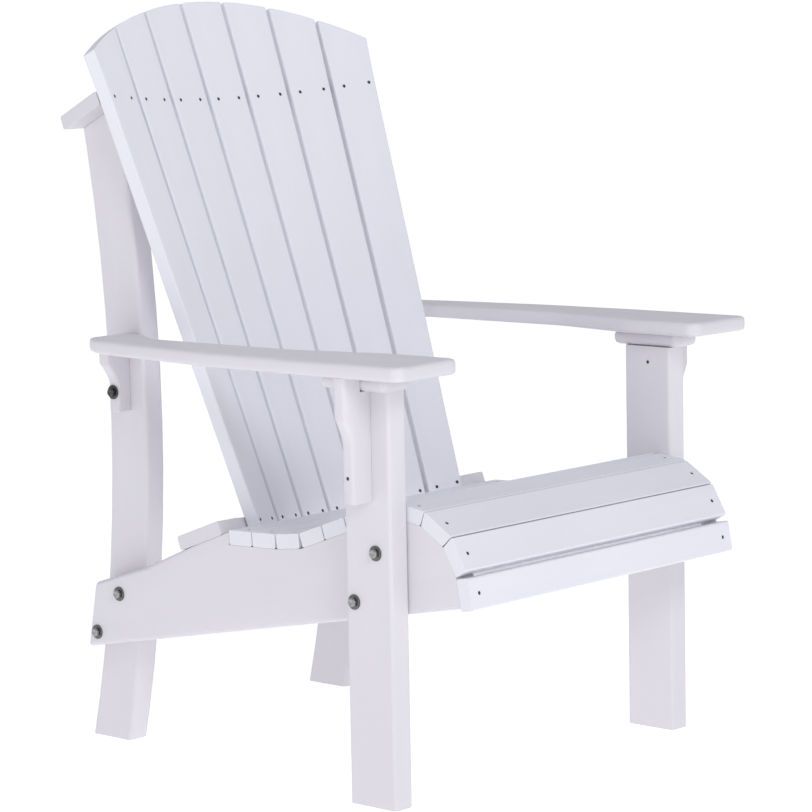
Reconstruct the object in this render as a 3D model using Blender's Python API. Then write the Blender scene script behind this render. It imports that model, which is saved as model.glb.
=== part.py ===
"""Adirondack chair of white plastic lumber, bolted and screwed together.

Metres, +Z up. The chair stands on the floor at Z = 0, faces -Y and is symmetric about X = 0.
"Left" pieces lie at -X and "right" pieces at +X, as someone standing in front of it sees them.
Depths below are measured from the front face of the front legs; place() moves them so that
the origin is on the floor under the middle of the whole chair.
"""

import math

import bmesh
import bpy
from mathutils import Vector

# Stock
FIT = 0.0003             # clearance between pieces that touch
LUMBER = 0.0381          # thickness of the frame lumber
LUMBER_WIDTH = 0.0889    # width of the frame lumber
LUMBER_EDGE = 0.0063     # rounding along the frame lumber
BOARD = 0.022            # thickness of slats, rails, arms, cleats and corbels
BOARD_EDGE = 0.0055      # rounding along arms and corbels
SLAT_EDGE = 0.0030       # rounding along slats and rails

# Whole chair
CENTRE_Y = 0.3003        # from the legs' front face back to the middle of the chair
HALF_SEAT = 0.3026       # half the width over the stringers
LEG_HEIGHT = 0.6015
ARM_TOP = LEG_HEIGHT + 2 * BOARD

# Seat: narrow slats over a curved top edge, each given by its slope in degrees
SLAT_WIDTH = 0.0463
SEAT_GAP = 0.0022
MITRE_EDGE = 0.0016              # rounding beside the closed joints of the seat's front
MITRE_CLOSE = 0.0005             # what each slat closes that gap by at the top of such a joint
CREST_REAR = (0.0215, 0.4373)    # top rear corner of the highest slat: depth, height
CREST_SLOPE = 8.0
FRONT_ROWS = (("seat_front_slat", 32.0), ("seat_nose_slat", 60.0), ("front_apron", 80.0))
REAR_SLOPES = (-15.0, -20.0, -20.0, -20.0, -6.5, -2.0, -2.0)

# Stringers
STRINGER_SLOPE = -0.1916         # fall of the bottom edge towards the rear
STRINGER_BOTTOM = 0.2791         # height of that edge at the legs' front face
STRINGER_END = (0.6753, 0.1508)  # rear bottom corner
STRINGER_END_HEIGHT = 0.106
STRINGER_BEND = (0.4, 0.035)     # top edge behind the rail: share of the way back, rise above the end

# Back: it leans by LEAN; "up" runs along the slats and "out" towards the sitter
LEAN = math.radians(20.23)
BACK_FOOT = (0.4072, 0.3546)     # depth and height of the front face at up = 0
SLAT_COUNT = 7
SLAT_SPLIT = 0.007               # gap between back slats
PITCH_FOOT = 0.0688              # distance between slat centres at up = 0
PITCH_RISE = 0.0268              # growth of that distance for each metre up
HOLLOW_FOOT = 0.655              # radius of the back's hollow at up = 0
HOLLOW_RISE = 0.412              # growth of that radius for each metre up
SLAT_START = -0.016
CROWN_HEIGHT = 0.840
CROWN_RADIUS = 0.565
SLAT_STATIONS = (SLAT_START, 0.15, 0.35, 0.55, 0.70)
RAIL_REAR = -0.065
RAIL_RELIEF = 0.0020             # room behind the flat slats in the rails' hollow edge
LOWER_RAIL_UP = -0.009
TOP_RAIL_UP = 0.6683
TOP_RAIL_TILT = 0.110            # the top rail falls this much towards its rear edge

# Rear uprights: one wide curved board each
UPRIGHT_WIDTH = 0.082
UPRIGHT_MIDDLE = (0.6142, 0.500)  # where its centre line is vertical: depth, height
UPRIGHT_RADIUS_BELOW = 2.16
UPRIGHT_RADIUS_ABOVE = 2.50
UPRIGHT_FLAT_OUT = 0.0036        # its top front edge is planed off here, behind the slats

# Arms: they fall slightly towards the rear
ARM_FALL = 0.0064

# Corbels under the arms: from the frame's face out to a foot and a head width
FRONT_CORBEL = {"foot": 0.443, "neck": 0.529, "shoulder": 0.566, "thin": 0.038, "wide": 0.054}
REAR_CORBEL = {"foot": 0.5225, "neck": 0.566, "shoulder": 0.598, "thin": 0.025, "wide": 0.0450}
REAR_CORBEL_MIDDLE = 0.6172      # depth of its middle
COVE_BEND = 1.35                 # 1 is a straight slope from neck to shoulder
CLEAT_FRONT = -0.012
CLEAT_REAR = 0.113
CLEAT_OUTER = 0.361              # outer edge of the cleats, from the middle of the chair
CLEAT_CORNER = 0.011
CLEAT_EDGE = 0.008

# Hex bolts with washers
SHANK_RADIUS = 0.0040
HEAD_FLATS = 0.0127
HEAD_HEIGHT = 0.0055
WASHER_RADIUS = 0.0110
WASHER_THICKNESS = 0.0018
DRILL_PAST = 0.0010
SHORT_OF_THROUGH = 0.006         # how far a bolt's end stays inside the second board
CORBEL_BOLT_LENGTH = 0.056
HEAD_STRAIGHT = 0.85             # share of the head's height before its edges are broken
HEAD_TOP = 0.92                  # width across the top of the head against its flats
SHANK_END = 0.6                  # width of the shank's blunt end against its diameter
ROUND_SIDES = 24

# Finishes: colour, metallic, roughness
WHITE_LUMBER = ((0.80, 0.80, 0.82), 0.0, 0.45)
DARK_STEEL = ((0.20, 0.19, 0.18), 1.0, 0.35)


def place(x, y, z):
    """A point given from the legs' front face, in the chair's own frame."""
    return Vector((x, y - CENTRE_Y, z))


def clear_scene():
    for obj in list(bpy.data.objects):
        bpy.data.objects.remove(obj, do_unlink=True)


def add_finish(obj, finish):
    colour, metallic, roughness = finish
    material = bpy.data.materials.new(obj.name + "_finish")
    material.use_nodes = True
    shader = material.node_tree.nodes["Principled BSDF"]
    shader.inputs["Base Color"].default_value = (*colour, 1.0)
    shader.inputs["Metallic"].default_value = metallic
    shader.inputs["Roughness"].default_value = roughness
    obj.data.materials.append(material)


def add_object(name, bm, finish):
    bmesh.ops.recalc_face_normals(bm, faces=bm.faces)
    mesh = bpy.data.meshes.new(name)
    bm.to_mesh(mesh)
    bm.free()
    mesh.polygons.foreach_set("use_smooth", [True] * len(mesh.polygons))
    mesh.set_sharp_from_angle(angle=math.radians(35))
    obj = bpy.data.objects.new(name, mesh)
    bpy.context.scene.collection.objects.link(obj)
    add_finish(obj, finish)
    return obj


def add_rounding(obj, radius):
    bevel = obj.modifiers.new("rounded edges", "BEVEL")
    bevel.limit_method = "WEIGHT"
    bevel.width = radius
    bevel.segments = 2
    bevel.use_clamp_overlap = False


def drill(obj, cutters):
    for cutter in cutters:
        hole = obj.modifiers.new("bolt hole", "BOOLEAN")
        hole.operation = "DIFFERENCE"
        hole.solver = "EXACT"
        hole.object = cutter


def rounded_outline(corners):
    """Points of an outline given as (u, v, radius) corners; a radius of 0 stays sharp."""
    points = []
    count = len(corners)
    for index, (u, v, radius) in enumerate(corners):
        corner = Vector((u, v))
        if radius == 0:
            points.append(corner)
            continue
        before = (Vector(corners[index - 1][:2]) - corner).normalized()
        after = (Vector(corners[(index + 1) % count][:2]) - corner).normalized()
        half_angle = before.angle(after) / 2
        middle = corner + (before + after).normalized() * radius / math.sin(half_angle)
        start = corner + before * radius / math.tan(half_angle) - middle
        turn = math.pi - 2 * half_angle
        steps = max(2, math.ceil(turn / math.radians(18)))
        if (corner - middle).cross(before) > 0:
            turn = -turn
        for step in range(steps + 1):
            angle = turn * step / steps
            points.append(middle + turned(start, angle))
    return points


def turned(vector, angle):
    cos, sin = math.cos(angle), math.sin(angle)
    return Vector((cos * vector.x - sin * vector.y, sin * vector.x + cos * vector.y))


def extrude_board(outline, low, high, to_space, square=()):
    """A flat board; its outline's edges are rounded, apart from the square-cut ones."""
    bm = bmesh.new()
    weight = bm.edges.layers.float.new("bevel_weight_edge")
    rings = []
    for level in (low, high):
        ring = [bm.verts.new(to_space(u, v, level)) for u, v in outline]
        bm.faces.new(ring)
        rings.append(ring)
    count = len(outline)
    for index in range(count):
        after = (index + 1) % count
        first, second = rings
        bm.faces.new((first[index], first[after], second[after], second[index]))
        for ring in rings:
            edge = bm.edges.get((ring[index], ring[after]))
            edge[weight] = 0.0 if index in square else 1.0
    return bm


def saw(bm, point, normal):
    """Cut a board off square to a plane; what lies on the normal's side falls away."""
    parts = bm.verts[:] + bm.edges[:] + bm.faces[:]
    bmesh.ops.bisect_plane(bm, geom=parts, plane_co=point, plane_no=normal, clear_outer=True)
    rim = [edge for edge in bm.edges if edge.is_boundary]
    bmesh.ops.contextual_create(bm, geom=rim)


def rounded_section(width, thickness, radius, steps=3):
    """Rectangle with rounded corners, centred on its width and hanging below zero."""
    points = []
    for corner in range(4):
        side = 1 if corner in (0, 3) else -1
        top = corner < 2
        centre_u = side * (width / 2 - radius)
        centre_v = -radius if top else radius - thickness
        for step in range(steps + 1):
            angle = math.radians(90) * (corner + step / steps)
            points.append((centre_u + radius * math.cos(angle), centre_v + radius * math.sin(angle)))
    return points


# ---- Seat -------------------------------------------------------------------------------

def along(slope):
    angle = math.radians(slope)
    return Vector((math.cos(angle), math.sin(angle)))


def upward(slope):
    angle = math.radians(slope)
    return Vector((-math.sin(angle), math.cos(angle)))


def seat_step(slope, next_slope):
    """Way from one slat's top corner to the next one's, when the closer faces keep the gap."""
    turn = math.radians(abs(slope - next_slope))
    convex = slope > next_slope
    opening = SEAT_GAP + (2 * BOARD * math.tan(turn / 2) if convex else 0.0)
    return along((slope + next_slope) / 2) * opening


def seat_rows():
    """Every seat slat from rear to front: name, top front corner, slope."""
    crest_rear = Vector(CREST_REAR)
    crest_front = crest_rear - along(CREST_SLOPE) * SLAT_WIDTH
    rows = [("seat_crest_slat", crest_front, CREST_SLOPE)]
    rear, slope = crest_rear, CREST_SLOPE
    for number, next_slope in enumerate(REAR_SLOPES, start=1):
        front = rear + seat_step(slope, next_slope)
        rows.insert(0, (f"seat_slat_{number}", front, next_slope))
        rear, slope = front + along(next_slope) * SLAT_WIDTH, next_slope
    front, slope = crest_front, CREST_SLOPE
    for name, next_slope in FRONT_ROWS:
        rear = front - seat_step(next_slope, slope)
        front, slope = rear - along(next_slope) * SLAT_WIDTH, next_slope
        rows.append((name, front, slope))
    return rows


def mitre_reach(slope, next_slope):
    """How far a slat's top reaches past its underside to close a joint over the seat's crest."""
    turn = math.radians(next_slope - slope)
    return BOARD * math.tan(turn / 2) + MITRE_CLOSE


def seat_section(front_reach, rear_reach):
    """Section of a seat slat from its front underside corner; a reach of 0 is a square edge."""
    front_edge = MITRE_EDGE if front_reach else SLAT_EDGE
    rear_edge = MITRE_EDGE if rear_reach else SLAT_EDGE
    return rounded_outline(((0.0, -BOARD, SLAT_EDGE), (SLAT_WIDTH, -BOARD, SLAT_EDGE),
                            (SLAT_WIDTH + rear_reach, 0.0, rear_edge), (-front_reach, 0.0, front_edge)))


def add_seat():
    rows = seat_rows()
    slopes = [slope for _, _, slope in rows]
    for index, (name, front, slope) in enumerate(rows):
        front_reach = rear_reach = 0.0
        if CREST_SLOPE <= slope < FRONT_ROWS[1][1]:
            front_reach = mitre_reach(slope, slopes[index + 1])
        if CREST_SLOPE < slope <= FRONT_ROWS[1][1]:
            rear_reach = mitre_reach(slopes[index - 1], slope)
        section = seat_section(front_reach, rear_reach)
        outline = [front + along(slope) * u + upward(slope) * v for u, v in section]
        bm = extrude_board(outline, -HALF_SEAT, HALF_SEAT, lambda y, z, x: place(x, y, z))
        add_object(name, bm, WHITE_LUMBER)


# ---- Back -------------------------------------------------------------------------------

def back_point(x, up, out):
    """A point of the back: sideways, up along the slats, and out towards the sitter."""
    y, z = back_depth(up, out)
    return place(x, y, z)


def back_depth(up, out):
    y = BACK_FOOT[0] + up * math.sin(LEAN) - out * math.cos(LEAN)
    z = BACK_FOOT[1] + up * math.cos(LEAN) + out * math.sin(LEAN)
    return y, z


def slat_pitch(up):
    return PITCH_FOOT + PITCH_RISE * up


def hollow_radius(up):
    return HOLLOW_FOOT + HOLLOW_RISE * up


def crown(x):
    """Height along the slats of the rounded top of the back."""
    return CROWN_HEIGHT - CROWN_RADIUS + math.sqrt(CROWN_RADIUS ** 2 - x ** 2)


def slat_section(width):
    """Front-to-back section of one back slat, with extra points across for its curved top."""
    section = rounded_section(width, BOARD, SLAT_EDGE, steps=2)
    half = width / 2 - SLAT_EDGE
    front = [(half * u, 0.0) for u in (0.5, 0.0, -0.5)]
    rear = [(half * u, -BOARD) for u in (-0.5, 0.0, 0.5)]
    return section[:3] + front + section[3:9] + rear + section[9:]


def slat_ring(order, up):
    pitch = slat_pitch(up)
    angle = order * pitch / hollow_radius(up)
    centre_x = hollow_radius(up) * math.sin(angle)
    centre_out = hollow_radius(up) * (1 - math.cos(angle))
    ring = []
    for across, depth in slat_section(pitch - SLAT_SPLIT):
        x = centre_x + across * math.cos(angle) - depth * math.sin(angle)
        out = centre_out + across * math.sin(angle) + depth * math.cos(angle)
        ring.append((x, out))
    return ring


def add_back_slat(number, order):
    bm = bmesh.new()
    rings = []
    for up in SLAT_STATIONS:
        rings.append([bm.verts.new(back_point(x, up, out)) for x, out in slat_ring(order, up)])
    top = crown(order * slat_pitch(CROWN_HEIGHT))
    rings.append([bm.verts.new(back_point(x, crown(x), out)) for x, out in slat_ring(order, top)])
    count = len(rings[0])
    for lower, upper in zip(rings, rings[1:]):
        for index in range(count):
            after = (index + 1) % count
            bm.faces.new((lower[index], lower[after], upper[after], upper[index]))
    bm.faces.new(rings[0])
    for index in range(count // 2 - 1):
        opposite = count - 1 - index
        top_ring = rings[-1]
        bm.faces.new((top_ring[index], top_ring[index + 1], top_ring[opposite - 1], top_ring[opposite]))
    add_object(f"back_slat_{number}", bm, WHITE_LUMBER)


def add_back_slats():
    for number in range(1, SLAT_COUNT + 1):
        add_back_slat(number, number - (SLAT_COUNT + 1) / 2)


def rail_outline(up):
    """Rail seen along the slats: straight rear edge, front edge hollowed for the slats."""
    slat_edge = (SLAT_COUNT / 2) * slat_pitch(up) + BOARD
    hollow_end = min(HALF_SEAT, slat_edge)
    outline = [(HALF_SEAT, RAIL_REAR), (-HALF_SEAT, RAIL_REAR)]
    if hollow_end < HALF_SEAT:
        outline.append((-HALF_SEAT, hollow_out(hollow_end, up)))
    steps = 24
    for step in range(steps + 1):
        x = hollow_end * (2 * step / steps - 1)
        outline.append((x, hollow_out(x, up)))
    if hollow_end < HALF_SEAT:
        outline.append((HALF_SEAT, hollow_out(hollow_end, up)))
    return outline


def hollow_out(x, up):
    return x ** 2 / (2 * hollow_radius(up)) - BOARD - RAIL_RELIEF


def add_rail(name, up, tilt):
    outline = rail_outline(up)
    ends = (1, len(outline) - 1)
    bm = extrude_board(outline, up, up + BOARD,
                       lambda x, out, level: back_point(x, level + tilt * out, out), square=ends)
    rail = add_object(name, bm, WHITE_LUMBER)
    add_rounding(rail, SLAT_EDGE)


# ---- Frame ------------------------------------------------------------------------------

def add_leg(side, sign, cutters):
    inner = HALF_SEAT + FIT
    section = rounded_section(LUMBER_WIDTH, LUMBER - FIT, LUMBER_EDGE)
    outline = [(u + LUMBER_WIDTH / 2, v + inner + LUMBER - FIT) for u, v in section]
    bm = extrude_board(outline, 0.0, LEG_HEIGHT, lambda y, x, z: place(sign * x, y, z))
    leg = add_object(f"front_leg_{side}", bm, WHITE_LUMBER)
    drill(leg, cutters)


def stringer_bottom(y):
    return STRINGER_BOTTOM + STRINGER_SLOPE * y


def stringer_outline():
    rows = seat_rows()
    last = rows[0][1] + along(rows[0][2]) * SLAT_WIDTH
    shoulder_y = last.x + 2 * FIT
    rail_under = LOWER_RAIL_UP - FIT
    rail_heel = back_depth(rail_under, RAIL_REAR - SLAT_EDGE)
    rail_slope = -math.tan(LEAN)
    shoulder = (shoulder_y, rail_heel[1] + rail_slope * (shoulder_y - rail_heel[0]))
    end_up = Vector((STRINGER_SLOPE, 1.0)).normalized() * STRINGER_END_HEIGHT
    end_top = Vector(STRINGER_END) + end_up
    bend_back, bend_rise = STRINGER_BEND
    bend = (rail_heel[0] + bend_back * (end_top.x - rail_heel[0]), end_top.y + bend_rise)
    outline = [STRINGER_END, tuple(end_top), bend, rail_heel, shoulder]
    outline.append((shoulder_y, last.y - BOARD - FIT))
    for _, front, slope in rows:
        underside = front - upward(slope) * (BOARD + FIT)
        outline.append(tuple(underside + along(slope) * (SLAT_WIDTH - FIT)))
        outline.append(tuple(underside))
    foot, head = Vector(outline[-1]), Vector(outline[-2])
    fall = (head.y - foot.y) / (head.x - foot.x)
    cut_y = (foot.y - fall * foot.x - STRINGER_BOTTOM) / (STRINGER_SLOPE - fall)
    outline[-1] = (cut_y, stringer_bottom(cut_y))
    return outline


def add_stringer(side, sign, cutters):
    outline = stringer_outline()
    under_rail = 3
    square = (0, *range(under_rail, len(outline) - 1))
    bm = extrude_board(outline, HALF_SEAT - LUMBER + FIT, HALF_SEAT,
                       lambda y, z, x: place(sign * x, y, z), square=square)
    stringer = add_object(f"stringer_{side}", bm, WHITE_LUMBER)
    add_rounding(stringer, LUMBER_EDGE)
    drill(stringer, cutters)


def upright_edge(offset):
    """One long edge of the upright, bottom to top, at an offset from its centre line."""
    points = []
    for radius, first, last in ((UPRIGHT_RADIUS_BELOW, -14, 0), (UPRIGHT_RADIUS_ABOVE, 2, 14)):
        centre_y = UPRIGHT_MIDDLE[0] + radius
        for degrees in range(first, last + 1, 2):
            angle = math.radians(degrees)
            reach = radius - offset
            y = centre_y - reach * math.cos(angle)
            points.append((y, UPRIGHT_MIDDLE[1] + reach * math.sin(angle)))
    return points


def add_upright(side, sign, cutters):
    rear_edge = upright_edge(UPRIGHT_WIDTH / 2)
    front_edge = upright_edge(-UPRIGHT_WIDTH / 2)
    outer = HALF_SEAT - LUMBER
    bm = extrude_board(rear_edge + front_edge[::-1], outer - LUMBER, outer,
                       lambda y, z, x: place(sign * x, y, z))
    up = back_point(0, 1, 0) - back_point(0, 0, 0)
    out = back_point(0, 0, 1) - back_point(0, 0, 0)
    saw(bm, Vector((0, 0, 0)), Vector((0, 0, -1)))
    saw(bm, back_point(0, TOP_RAIL_UP - FIT, 0), up - out * TOP_RAIL_TILT)
    saw(bm, back_point(0, 0, UPRIGHT_FLAT_OUT), out)
    upright = add_object(f"rear_upright_{side}", bm, WHITE_LUMBER)
    add_rounding(upright, LUMBER_EDGE)
    drill(upright, cutters)


# ---- Arms -------------------------------------------------------------------------------

def arm_corners():
    """Outline of the right arm: sideways, depth, corner radius."""
    frame_face = HALF_SEAT - LUMBER + FIT
    return ((0.268, -0.075, 0.022), (0.404, -0.078, 0.018), (0.404, 0.150, 0.500),
            (0.397, 0.320, 0.500), (0.374, 0.500, 0.400), (0.360, 0.580, 0.030),
            (0.341, 0.613, 0.010), (frame_face, 0.613, 0.0), (frame_face, 0.570, 0.040),
            (0.304, 0.508, 0.045), (0.303, 0.220, 0.200), (0.270, 0.060, 0.200))


def arm_drop(y):
    """How much lower the arm is at a depth than over the cleat's rear end."""
    return ARM_FALL * (y - CLEAT_REAR)


def add_arm(side, sign):
    low = LEG_HEIGHT + BOARD + FIT
    bm = extrude_board(rounded_outline(arm_corners()), low, ARM_TOP,
                       lambda x, y, z: place(sign * x, y, z - arm_drop(y)))
    add_rounding(add_object(f"arm_{side}", bm, WHITE_LUMBER), BOARD_EDGE)


def add_cleat(side, sign):
    corners = ((HALF_SEAT, CLEAT_FRONT, CLEAT_CORNER), (CLEAT_OUTER, CLEAT_FRONT, CLEAT_CORNER),
               (CLEAT_OUTER, CLEAT_REAR, CLEAT_CORNER), (HALF_SEAT, CLEAT_REAR, CLEAT_CORNER))
    bm = extrude_board(rounded_outline(corners), LEG_HEIGHT + FIT, LEG_HEIGHT + BOARD,
                       lambda x, y, z: place(sign * x, y, z))
    add_rounding(add_object(f"arm_cleat_{side}", bm, WHITE_LUMBER), CLEAT_EDGE)


def corbel_outline(face, top, shape, notch=None):
    """Bracket seen from the front: a straight foot, a cove and a wider head under the arm.

    A notch, given by its side and its height, leaves room for the cleat.
    """
    thin, wide = face + shape["thin"], face + shape["wide"]
    rise = shape["shoulder"] - shape["neck"]
    outline = [(face, notch[1] if notch else top), (face, shape["foot"]), (thin, shape["foot"])]
    steps = 6
    for step in range(steps + 1):
        share = step / steps
        outline.append((thin + (wide - thin) * share ** COVE_BEND, shape["neck"] + rise * share))
    outline.append((wide, top))
    if notch:
        outline += [(notch[0], top), notch]
    return outline


def add_corbel(name, sign, middle_y, outline, cutters=()):
    contact, foot = 0, 1
    head = [index for index, (_, z) in enumerate(outline) if z >= LEG_HEIGHT]
    bm = extrude_board(outline, middle_y - BOARD / 2, middle_y + BOARD / 2,
                       lambda x, z, y: place(sign * x, y, z), square=[contact, foot] + head)
    corbel = add_object(name, bm, WHITE_LUMBER)
    add_rounding(corbel, BOARD_EDGE)
    drill(corbel, cutters)


# ---- Bolts ------------------------------------------------------------------------------

def bolt_sites():
    """Each bolt on one side: name, face under its washer, depth, height, length, joint."""
    leg_face = HALF_SEAT + LUMBER
    corbel_face = HALF_SEAT - LUMBER + FIT + REAR_CORBEL["thin"]
    through_two = 2 * LUMBER - SHORT_OF_THROUGH
    return (("leg_bolt_upper", leg_face, 0.0289, 0.3699, through_two, "leg"),
            ("leg_bolt_lower", leg_face, 0.0720, 0.2954, through_two, "leg"),
            ("upright_bolt_upper", HALF_SEAT, 0.6039, 0.2419, through_two, "upright"),
            ("upright_bolt_lower", HALF_SEAT, 0.6558, 0.1763, through_two, "upright"),
            ("corbel_bolt", corbel_face, REAR_CORBEL_MIDDLE, 0.5528, CORBEL_BOLT_LENGTH,
             "corbel"))


def add_lathed(name, rings, finish, closed):
    """Join rings of points; unless closed into a loop, both ends are capped."""
    bm = bmesh.new()
    loops = [[bm.verts.new(point) for point in ring] for ring in rings]
    pairs = list(zip(loops, loops[1:]))
    if closed:
        pairs.append((loops[-1], loops[0]))
    else:
        bm.faces.new(loops[0])
        bm.faces.new(loops[-1])
    for lower, upper in pairs:
        count = len(lower)
        for index in range(count):
            after = (index + 1) % count
            bm.faces.new((lower[index], lower[after], upper[after], upper[index]))
    return add_object(name, bm, finish)


def round_ring(radius, sides):
    turns = [2 * math.pi * index / sides for index in range(sides)]
    return [(radius * math.cos(turn), radius * math.sin(turn)) for turn in turns]


def hex_ring(flats, sides=12):
    """Hexagon with a point at each corner and in the middle of each side."""
    points = []
    for index in range(sides):
        radius = flats / 2 if index % 2 else flats / (2 * math.cos(math.radians(30)))
        turn = 2 * math.pi * index / sides
        points.append((radius * math.cos(turn), radius * math.sin(turn)))
    return points


def add_bolt(side, sign, site):
    name, face, y, z, length, _ = site
    seat = face + FIT + WASHER_THICKNESS + FIT
    profile = ((round_ring(SHANK_RADIUS * SHANK_END, 12), face - length),
               (round_ring(SHANK_RADIUS, 12), face - length + SHANK_RADIUS),
               (round_ring(SHANK_RADIUS, 12), seat),
               (hex_ring(HEAD_FLATS), seat),
               (hex_ring(HEAD_FLATS), seat + HEAD_HEIGHT * HEAD_STRAIGHT),
               (round_ring(HEAD_FLATS * HEAD_TOP / 2, 12), seat + HEAD_HEIGHT))
    rings = [[place(sign * x, y + u, z + v) for u, v in ring] for ring, x in profile]
    add_lathed(f"{name}_{side}", rings, DARK_STEEL, closed=False)


def add_washer(side, sign, site):
    name, face, y, z, _, _ = site
    inner, outer = face + FIT, face + FIT + WASHER_THICKNESS
    hole = SHANK_RADIUS + FIT
    profile = ((hole, inner), (WASHER_RADIUS, inner), (WASHER_RADIUS, outer), (hole, outer))
    rings = [[place(sign * x, y + u, z + v) for u, v in round_ring(radius, ROUND_SIDES)]
             for radius, x in profile]
    add_lathed(name.replace("bolt", "washer") + f"_{side}", rings, DARK_STEEL, closed=True)


def add_cutter(side, sign, site):
    name, face, y, z, length, joint = site
    hole = SHANK_RADIUS + FIT
    rings = [[place(sign * x, y + u, z + v) for u, v in round_ring(hole, ROUND_SIDES)]
             for x in (face - length - DRILL_PAST, face + WASHER_RADIUS)]
    cutter = add_lathed(f"{name}_hole_{side}", rings, DARK_STEEL, closed=False)
    cutter.display_type = "WIRE"
    cutter.hide_render = True
    return joint, cutter


def add_side(side, sign):
    drills = [add_cutter(side, sign, site) for site in bolt_sites()]
    at_joint = {joint: [cutter for other, cutter in drills if other == joint]
                for joint in ("leg", "upright", "corbel")}
    add_leg(side, sign, at_joint["leg"])
    add_stringer(side, sign, at_joint["leg"] + at_joint["upright"])
    add_upright(side, sign, at_joint["upright"] + at_joint["corbel"])
    add_arm(side, sign)
    add_cleat(side, sign)
    under_arm = LEG_HEIGHT + BOARD
    under_cleat = (CLEAT_OUTER + FIT, LEG_HEIGHT)
    rear_top = under_arm - arm_drop(REAR_CORBEL_MIDDLE + BOARD)
    front_outline = corbel_outline(HALF_SEAT + LUMBER + FIT, under_arm, FRONT_CORBEL, under_cleat)
    rear_outline = corbel_outline(HALF_SEAT - LUMBER + FIT, rear_top, REAR_CORBEL)
    add_corbel(f"front_corbel_{side}", sign, LUMBER_WIDTH / 2, front_outline)
    add_corbel(f"rear_corbel_{side}", sign, REAR_CORBEL_MIDDLE, rear_outline, at_joint["corbel"])
    for site in bolt_sites():
        add_bolt(side, sign, site)
        add_washer(side, sign, site)


def main():
    clear_scene()
    add_seat()
    add_back_slats()
    add_rail("lower_back_rail", LOWER_RAIL_UP, 0.0)
    add_rail("top_back_rail", TOP_RAIL_UP, TOP_RAIL_TILT)
    for side, sign in (("left", -1), ("right", 1)):
        add_side(side, sign)


main()
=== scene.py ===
"""Looks of the adirondack chair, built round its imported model.

Metres, in the model's own frame: the chair faces -Y and "left" pieces lie at -X. Every white
board becomes a piece with broken saw cuts, countersunk screws and a lumber finish whose grain
runs along it; bolts and washers become turned and chamfered steel.
"""

import math

import bmesh
import bpy
import numpy as np
from mathutils import Matrix, Vector
from mathutils.bvhtree import BVHTree


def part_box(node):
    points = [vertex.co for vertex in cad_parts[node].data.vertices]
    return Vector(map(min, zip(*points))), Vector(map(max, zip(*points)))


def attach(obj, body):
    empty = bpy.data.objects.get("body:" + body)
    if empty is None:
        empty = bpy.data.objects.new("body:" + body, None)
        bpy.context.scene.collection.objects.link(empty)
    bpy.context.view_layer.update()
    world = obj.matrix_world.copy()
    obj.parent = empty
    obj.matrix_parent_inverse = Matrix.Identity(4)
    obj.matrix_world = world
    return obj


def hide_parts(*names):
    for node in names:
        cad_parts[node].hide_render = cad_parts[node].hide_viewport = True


BODY = "root"

# Boards
CUT_BREAK = 0.0004               # width of the broken arris round a saw cut
CUT_ANGLE = math.radians(50)     # edges sharper than this are saw cuts
BOARD_SMOOTH = math.radians(40)
WELD = 0.00001

# Material slot named for each board, by the start of its name; here it only picks the slats'
# lumber
SLOTS = (("back_slat", "back_slats"), ("top_back_rail", "rails"), ("lower_back_rail", "rails"),
         ("seat_", "seat_slats"), ("front_apron", "seat_slats"), ("arm_", "arms"),
         ("front_leg", "frame_lumber"), ("stringer", "frame_lumber"),
         ("rear_upright", "frame_lumber"), ("front_corbel", "arms"), ("rear_corbel", "arms"))
SLAT_SLOTS = ("back_slats", "seat_slats")

# Lumber: painted light and shade on one white: thin slats brighter and cooler, heavier boards
# darker and pinker
SLAT_WHITE_PAINTED_COOL_LIGHT = (0.825, 0.826, 0.885)
FRAME_WHITE_PAINTED_WARM_SHADE = (0.735, 0.712, 0.755)
SHADE_TONE = 0.953               # darker streaks and mottling, as a share of the white
EDGE_WEAR_AND_HIGHLIGHT_TONE = 1.055                # rubbed edges, painted lighter as a highlight
SAWN_TONE = 0.935                # saw-cut ends
BOARD_SPREAD = 0.30              # how far one board's tone may lie from another's
CUT_FACING = (0.80, 0.97)        # how squarely a face looks along its board: skin, saw cut
CUT_SHARE = 0.75                 # share of the sawn tone on a saw cut
CUT_ROUGHER = 0.16
EDGE_REACH = 0.0022              # how far from an edge the wear and the painted highlight begin
EDGE_TURN = (0.995, 0.90)        # cosine of the turn of the rounded normal: plain, full wear and painted highlight
EDGE_SHARE = 0.55                # share of the lighter edge tone, wear and painted highlight, on an edge
EDGE_SMOOTHER = 0.08
LUMBER_IOR = 1.50
LUMBER_SPECULAR = 0.45

# Lumber's noises: how fine they are across, through and along the board
STREAKS = (260.0, 260.0, 5.0)
STREAK_DETAIL = (5.0, 0.62)      # octaves, roughness
RIPPLE = (42.0, 42.0, 3.0)
MOTTLE = (14.0, 14.0, 4.0)
KERF = (60.0, 1300.0, 60.0)      # saw marks over the ends
PEBBLE = 1400.0                  # the same in every direction
GRAIN_SHARES = (0.6, 0.4)        # of streaks and pebble in the skin's height

# Steps of a finish: noise from and to, result from and to
MOTTLE_STEP = (0.30, 0.72, 0.0, 0.55)
STREAK_STEP = (0.45, 0.75, 0.0, 0.30)
LUMBER_ROUGHNESS = (0.30, 0.75, 0.40, 0.52)
STAIN_STEP = (0.40, 0.68, 0.0, 1.0)
WEAR_STEP = (0.5, 0.75, 0.0, 1.0)
COATING_ROUGHNESS = (0.3, 0.7, 0.34, 0.50)

# Bumps: strength, height in metres
RIPPLE_BUMP = (0.30, 0.0010)
GRAIN_BUMP = (0.35, 0.00035)
STEEL_BUMP = (0.25, 0.00008)
COATING_BUMP = (0.2, 0.00006)

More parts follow.
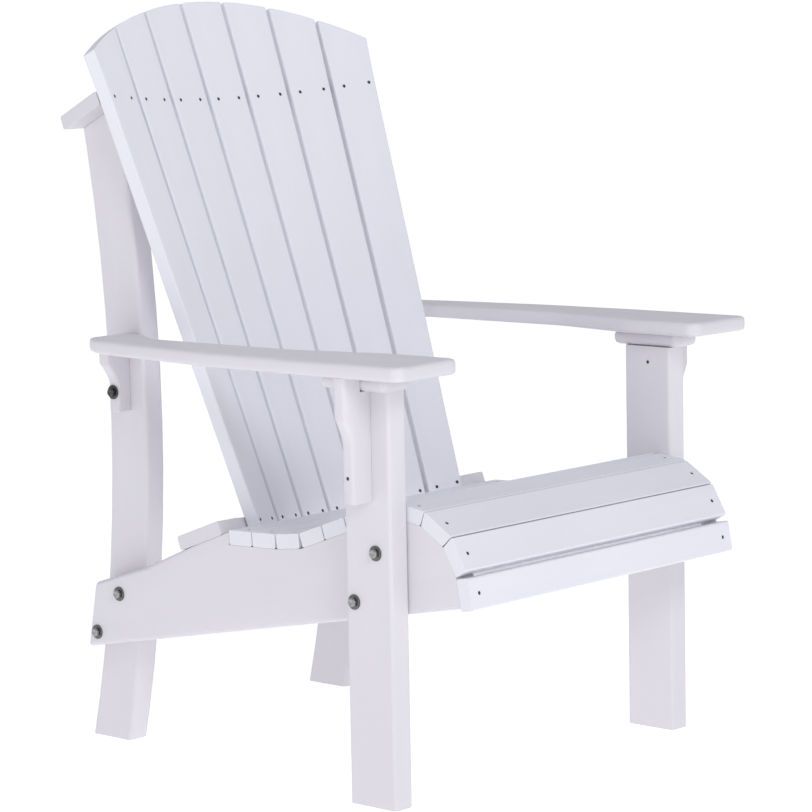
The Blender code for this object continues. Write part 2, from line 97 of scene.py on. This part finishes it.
# Screws: flat heads in shallow countersinks
SCREW_RADIUS = 0.0026
SCREW_SINK = 0.0004              # depth of the head's top below the board
SCREW_NECK = 0.72                # radius under the head, as a share of the head's
SCREW_HEAD = 0.0013              # height of the head
SCREW_RIM = 0.0002               # height of its broken rim
SCREW_FACE = 0.94                # radius inside that rim, as a share of the head's
SINK_RADIUS = 0.0031             # at the board's face
SINK_FLOOR = 0.0027
SINK_DEPTH = 0.0020
SINK_LIP = 0.0004                # how far the cut runs out past the board's face
DRIVE_HALF = 0.0012              # half the width of the square drive
DRIVE_DISH = 0.00005             # how far the head's face falls towards the drive
DRIVE_DEPTH = 0.0010
DRIVE_TAPER = 0.85               # width of the drive's floor, as a share of its mouth
SCREW_SIDES = 24
SCREW_SMOOTH = math.radians(35)
SCREW_TURN = 0.7                 # turn of the first screw of a board, in radians
SCREW_TURN_STEP = 1.9            # from each screw to the next
SEAT_SCREW_INSET = 0.0190        # from a seat slat's end to its screw
BACK_SCREW_SPREAD = 0.285        # from a back slat's centre line, as a share of its width
SEAT_SCREW_REACH = 0.1           # how far above a seat slat its screws are sighted from
BACK_SCREW_REACH = 0.5           # how far in front of the back the screws are sighted from
SIDE_SCREW_REACH = 1.0           # how far beside the chair the corbels' screws are sighted from
LEG_SCREW_INSET = (0.043, 0.0245)    # back from the leg's front face, down from its top
CORBEL_SCREW_UP = 0.037          # above the corbel's foot
LEVEL_WIDTH = 0.002              # points within this height belong to one row of a back slat

# Bolts and washers
BOLT_SIDES = 48
HARDWARE_SMOOTH = math.radians(30)
HARDWARE_TURN = 0.35             # turn of every bolt and washer about its axis, in radians
HEAD_HEIGHT = 0.0053
HEAD_FLATS = 0.0125
HEAD_PROFILE = ((0.47, 0.05), (0.36, 0.0))   # radius by the flats, depth by the height
HEAD_STRAIGHT = 0.22             # depth of the chamfer over the flats, by the height
HEAD_DISH = (0.33, 0.0002)       # radius by the flats, depth in metres
PACKED_FLATS = 0.0127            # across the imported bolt's head
SHANK_RADIUS = 0.0040
SHANK_TIP = 0.7                  # radius of a shank's end, as a share of the shank's
SHANK_TAPER = 0.5                # length of that end, as a share of the shank's radius
WASHER_HOLE = 0.4                # radius of the hole, as a share of the washer's
WASHER_ROUND = 0.0005
WASHER_ARC = 0.3                 # how near its rounded edge comes to the square corner

# Steel: bright colour, stained colour, least roughness
BOLT_STEEL = ((0.46, 0.455, 0.45, 1.0), (0.17, 0.168, 0.165, 1.0), 0.24)
WASHER_STEEL = ((0.20, 0.198, 0.196, 1.0), (0.085, 0.084, 0.083, 1.0), 0.30)
DARK_STEEL = ((0.12, 0.12, 0.12, 1.0), (0.045, 0.045, 0.045, 1.0), 0.28)
ROUGHNESS_SPREAD = 0.18          # from the smoothest steel to the most scratched
STAINS = 420.0                   # fineness of the stains
SCRATCHES = (300.0, 300.0, 6000.0)
SCRATCH_RANGE = (0.3, 0.7)
FINE_NOISE = (4.0, 0.6)          # octaves and roughness of stains and wear
SCRATCH_NOISE = (4.0, 0.7)

# Coating of the screws: whole and worn
COATING = (0.085, 0.084, 0.088, 1.0)
COATING_WORN = (0.24, 0.24, 0.25, 1.0)
COATING_METALLIC = 0.75
COATING_WEAR = 900.0             # fineness of the wear

# Camera
CAMERA_PLACE = (-3.7478, -3.4253, 1.1841)
CAMERA_HEADING = math.radians(47.786)    # to the right of +Y
CAMERA_DROP = math.radians(7.426)
CAMERA_ROLL = math.radians(-1.102)
CAMERA_LENS = 147.85
SENSOR = 36.0
NEAREST = 0.05

# Floor and sky
FLOOR_RADIUS = 400.0
FLOOR_SIDES = 96
FLOOR_LEVEL = -0.0004
FLOOR_WHITE = (0.86, 0.86, 0.86, 1.0)
FLOOR_ROUGHNESS = 0.9
FLOOR_SPECULAR = 0.1
FLOOR_GLOW = 0.54
SKY_RIM = (1.0, 1.0, 1.0, 1.0)   # a low bright band, as where a studio floor curves up
SKY_LOW = (0.50, 0.505, 0.53, 1.0)
SKY_ZENITH = (0.60, 0.605, 0.635, 1.0)
RIM_HEIGHTS = (0.02, 0.12)       # sines of the heights where the band begins and has faded
SKY_HEIGHTS = (0.1, 0.95)        # the same for the change from low sky to zenith

# Lights, aimed at one point: name, place, width, power, colour
LIGHT_TARGET = (0.0, 0.0, 0.55)
SOFTBOXES = (("front_softbox", (-1.8, -3.3, 2.55), 1.4, 40.0, (0.95, 0.968, 1.0)),
             ("side_softbox", (-3.3, -1.0, 1.15), 1.3, 6.0, (1.0, 0.95, 0.95)))


# ---- Small mesh helpers -----------------------------------------------------------------

def new_piece(name, bm):
    """An object made of a mesh, riding on the chair's one body."""
    mesh = bpy.data.meshes.new(name)
    bm.to_mesh(mesh)
    bm.free()
    piece = bpy.data.objects.new(name, mesh)
    bpy.context.scene.collection.objects.link(piece)
    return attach(piece, BODY)


def use_smooth(mesh, angle):
    """Shade smooth, apart from edges sharper than an angle."""
    mesh.polygons.foreach_set("use_smooth", [True] * len(mesh.polygons))
    mesh.set_sharp_from_angle(angle=angle)


def settle(piece):
    """Apply a piece's modifiers."""
    graph = bpy.context.evaluated_depsgraph_get()
    settled = bpy.data.meshes.new_from_object(piece.evaluated_get(graph))
    piece.modifiers.clear()
    old = piece.data
    piece.data = settled
    bpy.data.meshes.remove(old)


def weigh_normals(piece):
    """Keep flat faces flat beside rounded edges."""
    modifier = piece.modifiers.new("flat faces", "WEIGHTED_NORMAL")
    modifier.keep_sharp = True
    modifier.weight = 90


def ring(radius, level, sides, turn=0.0):
    """Circle of points about the local Z axis."""
    points = []
    for index in range(sides):
        angle = turn + 2 * math.pi * index / sides
        points.append(Vector((radius * math.cos(angle), radius * math.sin(angle), level)))
    return points


def square_ring(half, level, sides):
    """Square of points about the local Z axis, with as many points as a circle of sides."""
    points = []
    for point in ring(1.0, level, sides, math.pi / sides):
        reach = half / max(abs(point.x), abs(point.y))
        points.append(Vector((point.x * reach, point.y * reach, level)))
    return points


def hexagon_ring(flats, level, sides):
    """Hexagon of points about the local Z axis, given by its width across the flats."""
    points = []
    for index in range(sides):
        angle = 2 * math.pi * index / sides
        from_flat = (angle % math.radians(60)) - math.radians(30)
        radius = flats / 2 / math.cos(from_flat)
        points.append(Vector((radius * math.cos(angle), radius * math.sin(angle), level)))
    return points


def skin(bm, rings, to_space, closed=False):
    """Join rings of points; unless closed into a loop, both ends are capped."""
    loops = [[bm.verts.new(to_space @ point) for point in points] for points in rings]
    pairs = list(zip(loops, loops[1:]))
    if closed:
        pairs.append((loops[-1], loops[0]))
    else:
        bm.faces.new(loops[0][::-1])
        bm.faces.new(loops[-1])
    for lower, upper in pairs:
        count = len(lower)
        for index in range(count):
            after = (index + 1) % count
            bm.faces.new((lower[index], lower[after], upper[after], upper[index]))


def standing_on(point, normal, twist):
    """Frame whose Z axis stands on a face, turned about that axis."""
    turn = normal.to_track_quat("Z", "Y").to_matrix().to_4x4()
    return Matrix.Translation(point) @ turn @ Matrix.Rotation(twist, 4, "Z")


# ---- Finishes ---------------------------------------------------------------------------

def add_node(tree, kind, inputs=None, **settings):
    """A shader node; each input is a value or another node's output."""
    node = tree.nodes.new(kind)
    for name, value in settings.items():
        setattr(node, name, value)
    for name, value in (inputs or {}).items():
        if isinstance(value, bpy.types.NodeSocket):
            tree.links.new(value, node.inputs[name])
        else:
            node.inputs[name].default_value = value
    return node


def new_finish(name):
    material = bpy.data.materials.new(name)
    material.use_nodes = True
    tree = material.node_tree
    return material, tree, tree.nodes["Principled BSDF"]


def remap(tree, value, low, high, to_low, to_high):
    """Smooth step of a value from one range to another."""
    node = add_node(tree, "ShaderNodeMapRange", {"Value": value}, interpolation_type="SMOOTHSTEP")
    limits = {"From Min": low, "From Max": high, "To Min": to_low, "To Max": to_high}
    for name, number in limits.items():
        node.inputs[name].default_value = number
    return node.outputs["Result"]


def maths(tree, operation, first, second=0.0):
    node = add_node(tree, "ShaderNodeMath", {0: first, 1: second}, operation=operation)
    return node.outputs["Value"]


def noise(tree, vector, scale, detail=3.0, roughness=0.55):
    inputs = {"Vector": vector, "Scale": scale, "Detail": detail, "Roughness": roughness}
    return add_node(tree, "ShaderNodeTexNoise", inputs).outputs["Fac"]


def stretched(tree, vector, scale):
    node = add_node(tree, "ShaderNodeMapping", {"Vector": vector, "Scale": scale})
    return node.outputs["Vector"]


def mix_colour(tree, factor, first, second):
    inputs = {0: factor, 6: first, 7: second}    # the mix node's own colour sockets
    node = add_node(tree, "ShaderNodeMix", inputs, data_type="RGBA")
    return node.outputs[2]


def bump(tree, height, strength, distance, normal=None):
    inputs = {"Height": height, "Strength": strength, "Distance": distance}
    if normal is not None:
        inputs["Normal"] = normal
    return add_node(tree, "ShaderNodeBump", inputs).outputs["Normal"]


def toned(colour, share):
    """A lighter or darker tone of a colour, with its alpha."""
    return (*(value * share for value in colour), 1.0)


def lumber_finish(name, white):
    """White plastic lumber: drawn lengthwise streaks, satin skin, duller saw-cut ends; a painted
    highlight on worn edges.
    """
    material, tree, shader = new_finish(name)
    place = add_node(tree, "ShaderNodeTexCoord")
    local, facing = place.outputs["Object"], place.outputs["Normal"]
    geometry = add_node(tree, "ShaderNodeNewGeometry")

    split = add_node(tree, "ShaderNodeSeparateXYZ", {"Vector": facing})
    lengthwise = maths(tree, "ABSOLUTE", split.outputs["Z"])
    cut = remap(tree, lengthwise, *CUT_FACING, 0.0, 1.0)

    streaks = noise(tree, stretched(tree, local, STREAKS), 1.0, *STREAK_DETAIL)
    ripple = noise(tree, stretched(tree, local, RIPPLE), 1.0)
    pebble = noise(tree, local, PEBBLE)
    mottle = noise(tree, stretched(tree, local, MOTTLE), 1.0)
    kerf = noise(tree, stretched(tree, local, KERF), 1.0)

    rounded = add_node(tree, "ShaderNodeBevel", {"Radius": EDGE_REACH}, samples=4)
    across = add_node(tree, "ShaderNodeVectorMath",
                      {0: rounded.outputs["Normal"], 1: geometry.outputs["Normal"]},
                      operation="DOT_PRODUCT")
    edge = remap(tree, across.outputs["Value"], *EDGE_TURN, 0.0, 1.0)
    piece_tone = add_node(tree, "ShaderNodeObjectInfo").outputs["Random"]

    plain, shade = toned(white, 1.0), toned(white, SHADE_TONE)
    worn_and_lit, sawn = toned(white, EDGE_WEAR_AND_HIGHLIGHT_TONE), toned(white, SAWN_TONE)
    tone = maths(tree, "ADD", remap(tree, mottle, *MOTTLE_STEP),
                 maths(tree, "MULTIPLY", piece_tone, BOARD_SPREAD))
    colour = mix_colour(tree, tone, plain, shade)
    colour = mix_colour(tree, remap(tree, streaks, *STREAK_STEP), colour, shade)
    colour = mix_colour(tree, maths(tree, "MULTIPLY", cut, CUT_SHARE), colour, sawn)
    # painted highlight: rounded edges turned lighter, over the smoother worn skin
    colour = mix_colour(tree, maths(tree, "MULTIPLY", edge, EDGE_SHARE), colour, worn_and_lit)
    tree.links.new(colour, shader.inputs["Base Color"])

    rough = remap(tree, streaks, *LUMBER_ROUGHNESS)
    rough = maths(tree, "ADD", rough, maths(tree, "MULTIPLY", cut, CUT_ROUGHER))
    rough = maths(tree, "SUBTRACT", rough, maths(tree, "MULTIPLY", edge, EDGE_SMOOTHER))
    tree.links.new(rough, shader.inputs["Roughness"])
    shader.inputs["IOR"].default_value = LUMBER_IOR
    shader.inputs["Specular IOR Level"].default_value = LUMBER_SPECULAR

    grain = maths(tree, "ADD", maths(tree, "MULTIPLY", streaks, GRAIN_SHARES[0]),
                  maths(tree, "MULTIPLY", pebble, GRAIN_SHARES[1]))
    height = add_node(tree, "ShaderNodeMix", {0: cut, 2: grain, 3: kerf}).outputs[0]
    normal = bump(tree, ripple, *RIPPLE_BUMP)
    normal = bump(tree, height, *GRAIN_BUMP, normal)
    tree.links.new(normal, shader.inputs["Normal"])
    return material


def steel_finish(name, colour, dark, roughness):
    """Bare steel hardware: brushed round its axis, a little stained."""
    material, tree, shader = new_finish(name)
    local = add_node(tree, "ShaderNodeTexCoord").outputs["Object"]
    stains = noise(tree, local, STAINS, *FINE_NOISE)
    scratches = noise(tree, stretched(tree, local, SCRATCHES), 1.0, *SCRATCH_NOISE)
    shade = mix_colour(tree, remap(tree, stains, *STAIN_STEP), colour, dark)
    rough = remap(tree, scratches, *SCRATCH_RANGE, roughness, roughness + ROUGHNESS_SPREAD)
    tree.links.new(shade, shader.inputs["Base Color"])
    tree.links.new(rough, shader.inputs["Roughness"])
    shader.inputs["Metallic"].default_value = 1.0
    tree.links.new(bump(tree, scratches, *STEEL_BUMP), shader.inputs["Normal"])
    return material


def coated_finish():
    """Dark coating of the small screws."""
    material, tree, shader = new_finish("coated_screw")
    local = add_node(tree, "ShaderNodeTexCoord").outputs["Object"]
    wear = noise(tree, local, COATING_WEAR, *FINE_NOISE)
    colour = mix_colour(tree, remap(tree, wear, *WEAR_STEP), COATING, COATING_WORN)
    tree.links.new(colour, shader.inputs["Base Color"])
    tree.links.new(remap(tree, wear, *COATING_ROUGHNESS), shader.inputs["Roughness"])
    shader.inputs["Metallic"].default_value = COATING_METALLIC
    tree.links.new(bump(tree, wear, *COATING_BUMP), shader.inputs["Normal"])
    return material


# ---- Boards -----------------------------------------------------------------------------

def packed_mesh(name):
    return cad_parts[name].data


def slot_of(name):
    return next(slot for start, slot in SLOTS if name.startswith(start))


def is_board(name):
    return "bolt" not in name and "washer" not in name


def board_axes(mesh):
    """Frame of a board: Z along it, X across its width and Y through its thickness."""
    faces = [(face.center.copy(), face.area) for face in mesh.polygons]
    centres = np.array([centre for centre, _ in faces])
    areas = np.array([area for _, area in faces])
    middle = (centres * areas[:, None]).sum(0) / areas.sum()
    offsets = centres - middle
    spread = (offsets * areas[:, None]).T @ offsets
    axes = np.linalg.eigh(spread)[1]
    length, width = Vector(axes[:, 2]), Vector(axes[:, 1])
    length *= math.copysign(1.0, max(length, key=abs))
    width *= math.copysign(1.0, max(width, key=abs))
    thickness = length.cross(width)
    turn = Matrix((width, thickness, length)).transposed().to_4x4()
    return Matrix.Translation(Vector(middle)) @ turn


def copy_board(name, finish):
    """A new piece from a packed board, with welded faces and broken saw cuts."""
    mesh = packed_mesh(name)
    axes = board_axes(mesh)
    bm = bmesh.new()
    bm.from_mesh(mesh)
    bmesh.ops.remove_doubles(bm, verts=bm.verts, dist=WELD)
    bm.transform(axes.inverted())
    piece = new_piece(name + "_board", bm)
    piece.matrix_world = axes
    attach(piece, BODY)
    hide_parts(name)
    piece.data.materials.clear()
    piece.data.materials.append(finish)
    arris = piece.modifiers.new("broken saw cuts", "BEVEL")
    arris.limit_method = "ANGLE"
    arris.angle_limit = CUT_ANGLE
    arris.width = CUT_BREAK
    arris.segments = 2
    arris.use_clamp_overlap = True
    settle(piece)
    return piece


# ---- Screws -----------------------------------------------------------------------------

def landing(name, origin, way):
    """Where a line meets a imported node: the point and the face's normal."""
    mesh = packed_mesh(name)
    tree = BVHTree.FromPolygons([v.co for v in mesh.vertices], [p.vertices for p in mesh.polygons])
    point, normal, _, _ = tree.ray_cast(Vector(origin), Vector(way))
    return point, normal


def screw_rings():
    """Flat head with a broken rim and a square drive, from its underside to the drive's floor."""
    top = -SCREW_SINK
    return (ring(SCREW_RADIUS * SCREW_NECK, top - SCREW_HEAD, SCREW_SIDES),
            ring(SCREW_RADIUS, top - SCREW_RIM, SCREW_SIDES),
            ring(SCREW_RADIUS * SCREW_FACE, top, SCREW_SIDES),
            square_ring(DRIVE_HALF, top - DRIVE_DISH, SCREW_SIDES),
            square_ring(DRIVE_HALF * DRIVE_TAPER, top - DRIVE_DEPTH, SCREW_SIDES))


def sink_rings():
    """Tapered countersink, which runs a little past the board's face."""
    slope = (SINK_RADIUS - SINK_FLOOR) / SINK_DEPTH
    return (ring(SINK_FLOOR, -SINK_DEPTH, SCREW_SIDES),
            ring(SINK_RADIUS + slope * SINK_LIP, SINK_LIP, SCREW_SIDES))


def add_screws(piece, sites, finish):
    """Sink screws into a board at each (point, normal)."""
    cutter_bm, screw_bm = bmesh.new(), bmesh.new()
    for number, (point, normal) in enumerate(sites):
        seat = standing_on(point, normal, SCREW_TURN + SCREW_TURN_STEP * number)
        skin(cutter_bm, sink_rings(), seat)
        skin(screw_bm, screw_rings(), seat)
    cutter = new_piece(piece.name + "_sinks", cutter_bm)
    sink = piece.modifiers.new("countersinks", "BOOLEAN")
    sink.operation = "DIFFERENCE"
    sink.solver = "EXACT"
    sink.object = cutter
    settle(piece)
    bpy.data.objects.remove(cutter, do_unlink=True)
    screws = new_piece(piece.name.replace("_board", "_screws"), screw_bm)
    use_smooth(screws.data, SCREW_SMOOTH)
    screws.data.materials.append(finish)


def seat_screw_sites(name):
    """One screw near each end of a seat slat, in line with the middle of its section."""
    low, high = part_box(name)
    faces = packed_mesh(name).polygons
    top = max(faces, key=lambda face: face.area * (face.normal.z - face.normal.y > 0.2))
    sites = []
    for end in (low.x + SEAT_SCREW_INSET, high.x - SEAT_SCREW_INSET):
        centre = Vector((end, (low.y + high.y) / 2, (low.z + high.z) / 2))
        sites.append(landing(name, centre + top.normal * SEAT_SCREW_REACH, -top.normal))
    return sites


def back_axes():
    """The middle back slat's front: a point, its way up and its normal."""
    faces = packed_mesh("back_slat_4").polygons
    front = max(faces, key=lambda face: face.area * (face.normal.y < -0.5))
    normal = front.normal.copy()
    up = Vector((0.0, -normal.z, normal.y))
    up *= math.copysign(1.0, up.z)
    return front.center.copy(), up, normal


def rail_height(name, origin, up):
    """Height along the slats of a rail's middle."""
    levels = [(vertex.co - origin).dot(up) for vertex in packed_mesh(name).vertices]
    return (min(levels) + max(levels)) / 2


def back_screw_sites(name, heights, origin, up, normal):
    """Two screws in a back slat at each rail."""
    points = [vertex.co for vertex in packed_mesh(name).vertices]
    sites = []
    for height in heights:
        low_x, high_x = edges_at(points, height, origin, up)
        middle, width = (low_x + high_x) / 2, high_x - low_x
        for side in (-1, 1):
            start = origin + up * height + normal * BACK_SCREW_REACH
            start.x = middle + side * BACK_SCREW_SPREAD * width
            sites.append(landing(name, start, -normal))
    return sites


def edges_at(points, height, origin, up):
    """A slat's two edges at a height, between its rows of points."""
    levels = {round((co - origin).dot(up), 3) for co in points}
    below = max(level for level in levels if level <= height)
    above = min(level for level in levels if level > height)
    share = (height - below) / (above - below)
    edges = []
    for pick in (min, max):
        ends = [pick(co.x for co in points if abs((co - origin).dot(up) - level) < LEVEL_WIDTH)
                for level in (below, above)]
        edges.append(ends[0] + share * (ends[1] - ends[0]))
    return edges


def leg_screw_sites(name):
    """A screw through the leg's inner face, just under the cleat."""
    low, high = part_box(name)
    inward = 1.0 if low.x + high.x < 0 else -1.0
    back, down = LEG_SCREW_INSET
    start = Vector((0.0, low.y + back, high.z - down))
    return [landing(name, start, Vector((-inward, 0.0, 0.0)))]


def corbel_screw_sites(name):
    """A screw through the corbel's narrow outer edge, into the leg."""
    low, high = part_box(name)
    inward = 1.0 if low.x + high.x < 0 else -1.0
    start = Vector((-inward * SIDE_SCREW_REACH, (low.y + high.y) / 2, low.z + CORBEL_SCREW_UP))
    return [landing(name, start, Vector((inward, 0.0, 0.0)))]


# ---- Bolts and washers ------------------------------------------------------------------

def hardware_axes(name):
    """Frame at the outer end of a bolt or washer, with Z pointing away from the chair."""
    low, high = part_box(name)
    outward = -1.0 if low.x + high.x < 0 else 1.0
    middle = (low + high) / 2
    face = Vector((low.x if outward < 0 else high.x, middle.y, middle.z))
    return standing_on(face, Vector((outward, 0.0, 0.0)), HARDWARE_TURN)


def bolt_rings(length, shank):
    """Shank and chamfered hex head, from the shank's tip to the dish in the head."""
    rings = [ring(shank * SHANK_TIP, -length, BOLT_SIDES),
             ring(shank, -length + shank * SHANK_TAPER, BOLT_SIDES),
             ring(shank, -HEAD_HEIGHT, BOLT_SIDES),
             hexagon_ring(HEAD_FLATS, -HEAD_HEIGHT, BOLT_SIDES),
             hexagon_ring(HEAD_FLATS, -HEAD_HEIGHT * HEAD_STRAIGHT, BOLT_SIDES)]
    for radius, depth in HEAD_PROFILE:
        rings.append(ring(HEAD_FLATS * radius, -HEAD_HEIGHT * depth, BOLT_SIDES))
    rings.append(ring(HEAD_FLATS * HEAD_DISH[0], -HEAD_DISH[1], BOLT_SIDES))
    return rings


def add_bolt(name, finish):
    low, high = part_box(name)
    head_corner = PACKED_FLATS / 2 / math.cos(math.radians(30))
    shank = (high.z - low.z) / 2 * SHANK_RADIUS / head_corner
    bm = bmesh.new()
    skin(bm, bolt_rings(high.x - low.x, shank), Matrix.Identity(4))
    add_hardware_piece(name, bm, finish)


def washer_rings(radius, thick):
    """Ring's section, closed into a loop, with its outer edge rounded on the side that shows."""
    hole, edge = radius * WASHER_HOLE, WASHER_ROUND
    arc = edge * WASHER_ARC
    profile = ((hole, -thick), (radius, -thick), (radius, -edge), (radius - arc, -arc),
               (radius - edge, 0.0), (hole, 0.0))
    return [ring(reach, level, BOLT_SIDES) for reach, level in profile]


def add_washer(name, finish):
    low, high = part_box(name)
    bm = bmesh.new()
    skin(bm, washer_rings((high.z - low.z) / 2, high.x - low.x), Matrix.Identity(4), closed=True)
    add_hardware_piece(name, bm, finish)


def add_hardware_piece(name, bm, finish):
    """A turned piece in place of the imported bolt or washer."""
    piece = new_piece(name + "_turned", bm)
    use_smooth(piece.data, HARDWARE_SMOOTH)
    piece.matrix_world = hardware_axes(name)
    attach(piece, BODY)
    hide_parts(name)
    piece.data.materials.append(finish)


# ---- Surroundings -----------------------------------------------------------------------

def add_camera():
    """Camera with its heading, drop and roll."""
    heading, drop, roll = CAMERA_HEADING, CAMERA_DROP, CAMERA_ROLL
    forward = Vector((math.sin(heading) * math.cos(drop), math.cos(heading) * math.cos(drop),
                      -math.sin(drop)))
    level = Vector((math.cos(heading), -math.sin(heading), 0.0))
    upright = level.cross(forward)
    right = level * math.cos(roll) + upright * math.sin(roll)
    up = upright * math.cos(roll) - level * math.sin(roll)
    turn = Matrix((right, up, -forward)).transposed().to_4x4()
    data = bpy.data.cameras.new("camera")
    data.lens = CAMERA_LENS
    data.sensor_width = SENSOR
    data.clip_start, data.clip_end = NEAREST, 2 * FLOOR_RADIUS
    camera = bpy.data.objects.new("camera", data)
    camera.matrix_world = Matrix.Translation(CAMERA_PLACE) @ turn
    bpy.context.scene.collection.objects.link(camera)
    bpy.context.scene.camera = camera


def add_floor():
    """Pale studio floor that glows a little, so it stays white far from the chair."""
    bm = bmesh.new()
    bmesh.ops.create_circle(bm, cap_ends=True, segments=FLOOR_SIDES, radius=FLOOR_RADIUS)
    mesh = bpy.data.meshes.new("studio_floor")
    bm.to_mesh(mesh)
    bm.free()
    floor = bpy.data.objects.new("studio_floor", mesh)
    floor.location.z = FLOOR_LEVEL
    bpy.context.scene.collection.objects.link(floor)
    material, _, shader = new_finish("studio_floor")
    shader.inputs["Base Color"].default_value = FLOOR_WHITE
    shader.inputs["Roughness"].default_value = FLOOR_ROUGHNESS
    shader.inputs["Specular IOR Level"].default_value = FLOOR_SPECULAR
    shader.inputs["Emission Color"].default_value = (1.0, 1.0, 1.0, 1.0)
    shader.inputs["Emission Strength"].default_value = FLOOR_GLOW
    mesh.materials.append(material)


def add_sky():
    """Soft surrounding light: a white band at the horizon and a light grey sky above it."""
    world = bpy.data.worlds.new("studio")
    world.use_nodes = True
    tree = world.node_tree
    background = tree.nodes["Background"]
    place = add_node(tree, "ShaderNodeTexCoord").outputs["Generated"]
    height = add_node(tree, "ShaderNodeSeparateXYZ", {"Vector": place}).outputs["Z"]
    colour = mix_colour(tree, remap(tree, height, *SKY_HEIGHTS, 0.0, 1.0), SKY_LOW, SKY_ZENITH)
    colour = mix_colour(tree, remap(tree, height, *RIM_HEIGHTS, 1.0, 0.0), colour, SKY_RIM)
    tree.links.new(colour, background.inputs["Color"])
    background.inputs["Strength"].default_value = 1.0
    bpy.context.scene.world = world


def add_softbox(name, place, size, power, colour):
    """Round soft light aimed at the chair."""
    data = bpy.data.lights.new(name, "AREA")
    data.shape = "DISK"
    data.size = size
    data.energy = power
    data.color = colour
    light = bpy.data.objects.new(name, data)
    way = Vector(LIGHT_TARGET) - Vector(place)
    turn = way.to_track_quat("-Z", "Y").to_matrix().to_4x4()
    light.matrix_world = Matrix.Translation(place) @ turn
    bpy.context.scene.collection.objects.link(light)


def add_surroundings():
    add_camera()
    add_floor()
    add_sky()
    for softbox in SOFTBOXES:
        add_softbox(*softbox)
    settings = bpy.context.scene.view_settings
    settings.view_transform = "Standard"
    settings.look = "None"
    settings.exposure = 0.0
    settings.gamma = 1.0


# ---- Whole chair ------------------------------------------------------------------------

def add_boards(slat_lumber, frame_lumber, coated):
    """Every board, with the screws that show on it."""
    origin, up, normal = back_axes()
    heights = [rail_height(name, origin, up) for name in ("lower_back_rail", "top_back_rail")]
    for name in sorted(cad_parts):
        if not is_board(name):
            continue
        # painted light: the slats take the brighter, cooler copy of the white, the other boards
        # the darker, warmer one
        piece = copy_board(name, slat_lumber if slot_of(name) in SLAT_SLOTS else frame_lumber)
        if name.startswith("seat_") or name == "front_apron":
            add_screws(piece, seat_screw_sites(name), coated)
        elif name.startswith("back_slat"):
            add_screws(piece, back_screw_sites(name, heights, origin, up, normal), coated)
        elif name.startswith("front_leg"):
            add_screws(piece, leg_screw_sites(name), coated)
        elif name.startswith("front_corbel"):
            add_screws(piece, corbel_screw_sites(name), coated)
        use_smooth(piece.data, BOARD_SMOOTH)
        weigh_normals(piece)


def add_hardware(bolt_steel, washer_steel, dark_steel):
    """Bolts and washers; the pair at the rear corbels is of darker steel."""
    for name in sorted(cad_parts):
        is_dark = name.startswith("corbel_")
        if "_bolt" in name:
            add_bolt(name, dark_steel if is_dark else bolt_steel)
        elif "_washer" in name:
            add_washer(name, dark_steel if is_dark else washer_steel)


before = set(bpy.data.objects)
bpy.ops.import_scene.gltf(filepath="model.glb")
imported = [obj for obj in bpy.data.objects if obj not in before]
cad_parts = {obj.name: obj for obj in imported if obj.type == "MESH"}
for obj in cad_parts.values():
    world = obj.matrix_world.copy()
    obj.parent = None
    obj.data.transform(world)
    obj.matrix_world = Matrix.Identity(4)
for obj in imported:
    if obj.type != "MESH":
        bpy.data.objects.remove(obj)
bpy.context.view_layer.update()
# one white lumber in two copies: painted lit and cool for the slats, painted shaded and warm for
# the frame
add_boards(lumber_finish("white_slat_lumber", SLAT_WHITE_PAINTED_COOL_LIGHT),
           lumber_finish("white_frame_lumber", FRAME_WHITE_PAINTED_WARM_SHADE), coated_finish())
add_hardware(steel_finish("bolt_steel", *BOLT_STEEL), steel_finish("washer_steel", *WASHER_STEEL),
             steel_finish("dark_steel", *DARK_STEEL))
add_surroundings()
